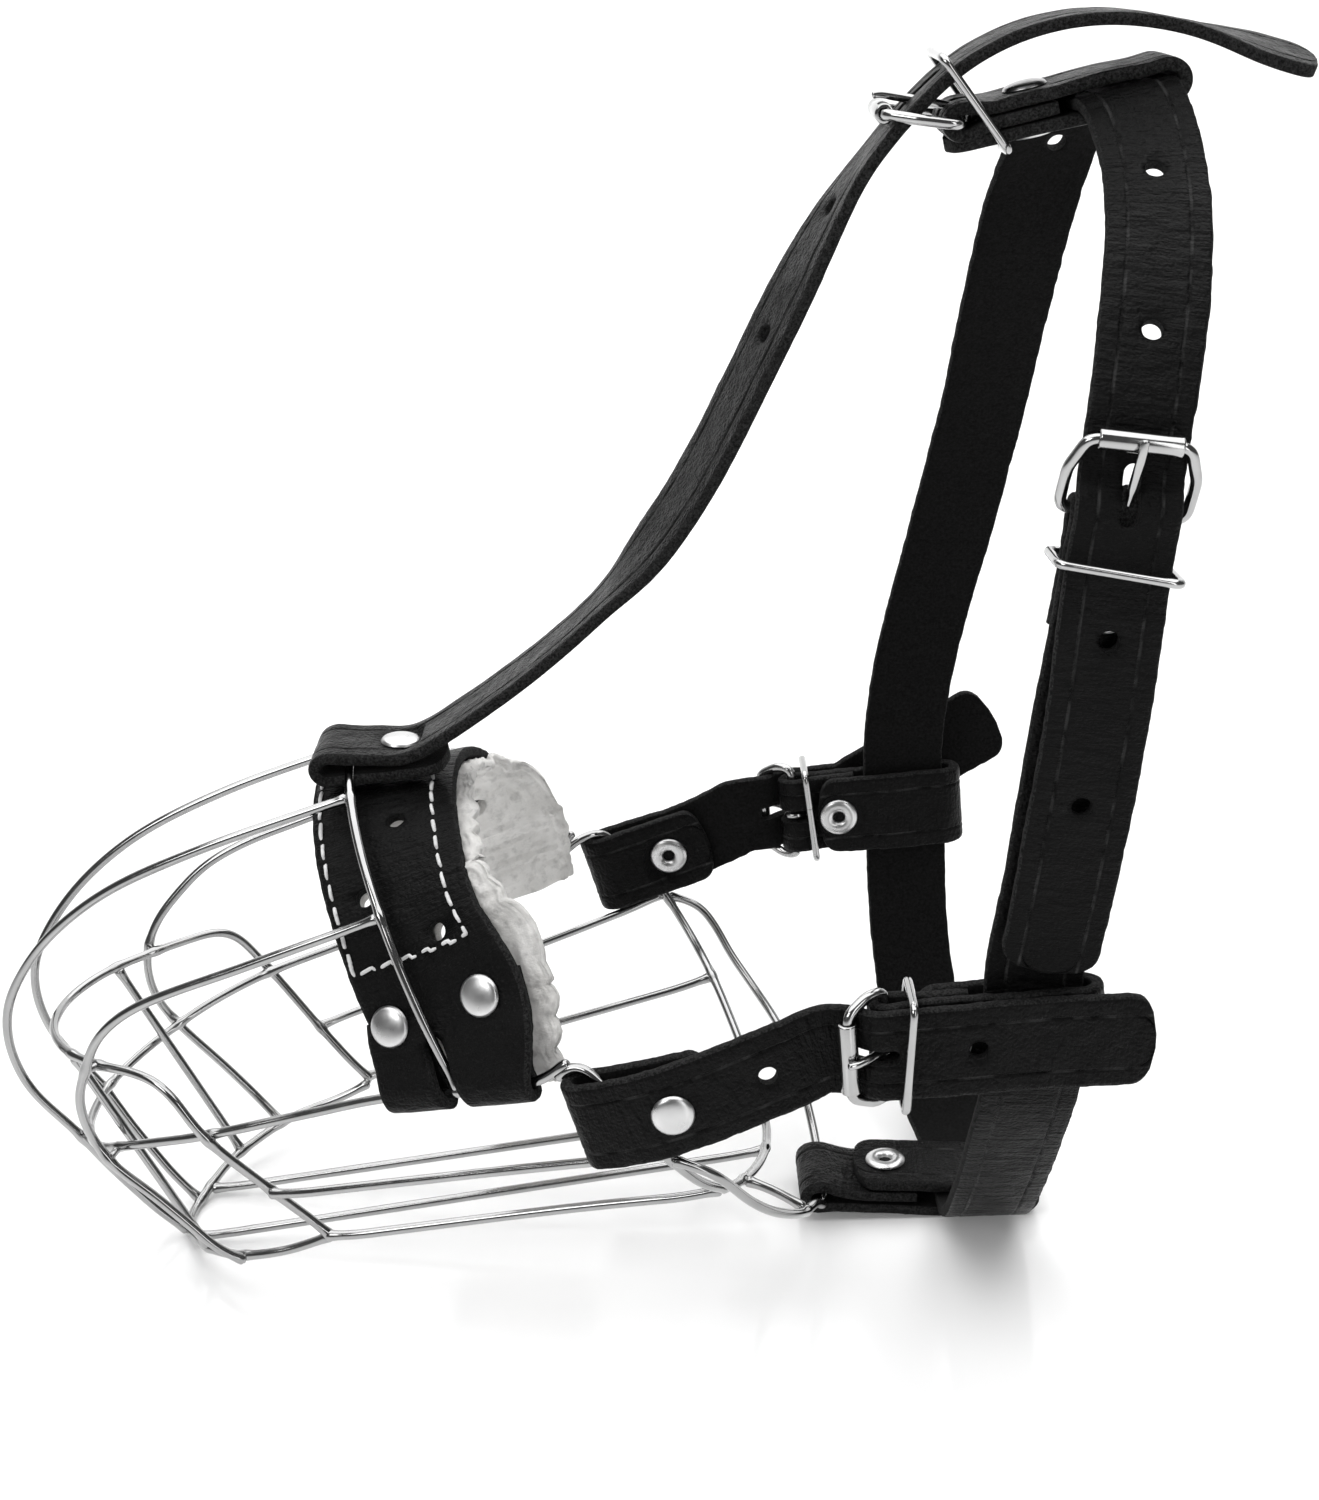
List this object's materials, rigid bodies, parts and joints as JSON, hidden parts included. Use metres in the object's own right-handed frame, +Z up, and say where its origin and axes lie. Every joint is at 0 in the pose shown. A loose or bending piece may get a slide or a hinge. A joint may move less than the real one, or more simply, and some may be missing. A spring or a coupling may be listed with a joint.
{
  "type": "basket muzzle",
  "caption": "Wire basket muzzle for a dog, with a felt-lined leather noseband and a riveted leather harness held by roller buckles.",
  "frame": {"origin": "centre of the bounding box, at the surface that the muzzle stands on", "axes": "-X towards the nose, +X towards the neck, -Y the left side of the head, +Y the right side, +Z up"},
  "size_m": [0.2872, 0.1446, 0.271],
  "materials": {
    "basket_wire": "bright polished plated wire, welded",
    "buckle_metal": "bright nickel plate",
    "rivet_metal": "satin nickel plate, lightly worn",
    "strap_leather": "black, semi-gloss grain side with creased edges",
    "lining_felt": "pale wool felt, matt and fuzzy"
  },
  "bodies": {
    "muzzle": {"nose_arch": "basket_wire", "nose_bar_inner_left": "basket_wire", "nose_bar_inner_right": "basket_wire", "nose_bar_outer_left": "basket_wire", "nose_bar_outer_right": "basket_wire", "mid_ring": "basket_wire", "chin_bar_left": "basket_wire", "chin_bar_right": "basket_wire", "side_rail": "basket_wire", "bottom_ring": "basket_wire", "floor_bar_inner_left": "basket_wire", "floor_bar_inner_right": "basket_wire", "floor_bar_outer_left": "basket_wire", "floor_bar_outer_right": "basket_wire", "lower_rail_left": "basket_wire", "lower_rail_right": "basket_wire", "rear_hoop": "basket_wire", "throat_hoop": "basket_wire", "throat_strut": "basket_wire", "cheek_buckle_left_frame": "buckle_metal", "cheek_buckle_right_frame": "buckle_metal", "neck_buckle_frame": "buckle_metal", "crown_buckle_frame": "buckle_metal", "noseband_rivet_front_left": "rivet_metal", "noseband_rivet_rear_left": "rivet_metal", "noseband_rivet_front_right": "rivet_metal", "noseband_rivet_rear_right": "rivet_metal", "forehead_rivet": "rivet_metal", "crown_strap_rivet": "rivet_metal", "cheek_loop_left_rivet": "rivet_metal", "cheek_loop_right_rivet": "rivet_metal", "neck_rivet": "rivet_metal", "cheek_rivet_left": "rivet_metal", "cheek_rivet_right": "rivet_metal", "throat_rivet": "rivet_metal", "noseband": "strap_leather", "forehead_strap": "strap_leather", "crown_strap": "strap_leather", "neck_strap": "strap_leather", "cheek_strap_left": "strap_leather", "cheek_strap_right": "strap_leather", "cheek_loop_left": "strap_leather", "cheek_loop_right": "strap_leather", "throat_strap": "strap_leather", "felt_lining": "lining_felt"},
    "cheek_buckle_left_tongue_body": {"cheek_buckle_left_tongue": "buckle_metal"},
    "cheek_buckle_left_roller_body": {"cheek_buckle_left_roller": "buckle_metal"},
    "cheek_buckle_left_keeper_body": {"cheek_buckle_left_keeper": "buckle_metal"},
    "cheek_buckle_right_tongue_body": {"cheek_buckle_right_tongue": "buckle_metal"},
    "cheek_buckle_right_roller_body": {"cheek_buckle_right_roller": "buckle_metal"},
    "cheek_buckle_right_keeper_body": {"cheek_buckle_right_keeper": "buckle_metal"},
    "neck_buckle_tongue_body": {"neck_buckle_tongue": "buckle_metal"},
    "neck_buckle_roller_body": {"neck_buckle_roller": "buckle_metal"},
    "neck_buckle_keeper_body": {"neck_buckle_keeper": "buckle_metal"},
    "crown_buckle_tongue_body": {"crown_buckle_tongue": "buckle_metal"},
    "crown_buckle_roller_body": {"crown_buckle_roller": "buckle_metal"},
    "crown_buckle_keeper_body": {"crown_buckle_keeper": "buckle_metal"}
  },
  "joints": [
    {"name": "cheek_buckle_left_tongue_hinge", "type": "hinge", "parent": "muzzle", "child": "cheek_buckle_left_tongue_body", "pos_m": [0.05249, -0.0627, 0.0762], "axis": [-0.0499, 0, 0.9988], "range_deg": [0, 28]},
    {"name": "cheek_buckle_left_roller_spin", "type": "hinge", "parent": "muzzle", "child": "cheek_buckle_left_roller_body", "pos_m": [0.04449, -0.0678, 0.0758], "axis": [0.0499, 0, -0.9988], "continuous": true},
    {"name": "cheek_buckle_left_keeper_slide", "type": "slide", "parent": "muzzle", "child": "cheek_buckle_left_keeper_body", "axis": [-0.9988, 0, -0.0499], "range_m": [-0.0004, 0.0008]},
    {"name": "cheek_buckle_right_tongue_hinge", "type": "hinge", "parent": "muzzle", "child": "cheek_buckle_right_tongue_body", "pos_m": [0.04129, 0.0627, 0.075], "axis": [0.0599, 0, -0.9982], "range_deg": [0, 28]},
    {"name": "cheek_buckle_right_roller_spin", "type": "hinge", "parent": "muzzle", "child": "cheek_buckle_right_roller_body", "pos_m": [0.03329, 0.0678, 0.07452], "axis": [-0.0599, 0, 0.9982], "continuous": true},
    {"name": "cheek_buckle_right_keeper_slide", "type": "slide", "parent": "muzzle", "child": "cheek_buckle_right_keeper_body", "axis": [-0.9982, 0, -0.0599], "range_m": [-0.0004, 0.0008]},
    {"name": "neck_buckle_tongue_hinge", "type": "hinge", "parent": "muzzle", "child": "neck_buckle_tongue_body", "pos_m": [0.0962, -0.06075, 0.1845], "axis": [0.9889, 0, -0.1483], "range_deg": [0, 30]},
    {"name": "neck_buckle_roller_spin", "type": "hinge", "parent": "muzzle", "child": "neck_buckle_roller_body", "pos_m": [0.09832, -0.06515, 0.19868], "axis": [-0.9889, 0, 0.1483], "continuous": true},
    {"name": "neck_buckle_keeper_slide", "type": "slide", "parent": "muzzle", "child": "neck_buckle_keeper_body", "axis": [0.1482, 0.0494, 0.9877], "range_m": [-0.002, 0.0006]},
    {"name": "crown_buckle_tongue_hinge", "type": "hinge", "parent": "muzzle", "child": "crown_buckle_tongue_body", "pos_m": [0.07229, -0.00025, 0.2506], "axis": [0, 1, 0], "range_deg": [0, 15]},
    {"name": "crown_buckle_roller_spin", "type": "hinge", "parent": "muzzle", "child": "crown_buckle_roller_body", "pos_m": [0.05746, -0.00025, 0.25283], "axis": [0, -1, 0], "continuous": true},
    {"name": "crown_buckle_keeper_slide", "type": "slide", "parent": "muzzle", "child": "crown_buckle_keeper_body", "axis": [-0.9806, 0, -0.1961], "range_m": [-0.0005, 0.001]}
  ]
}
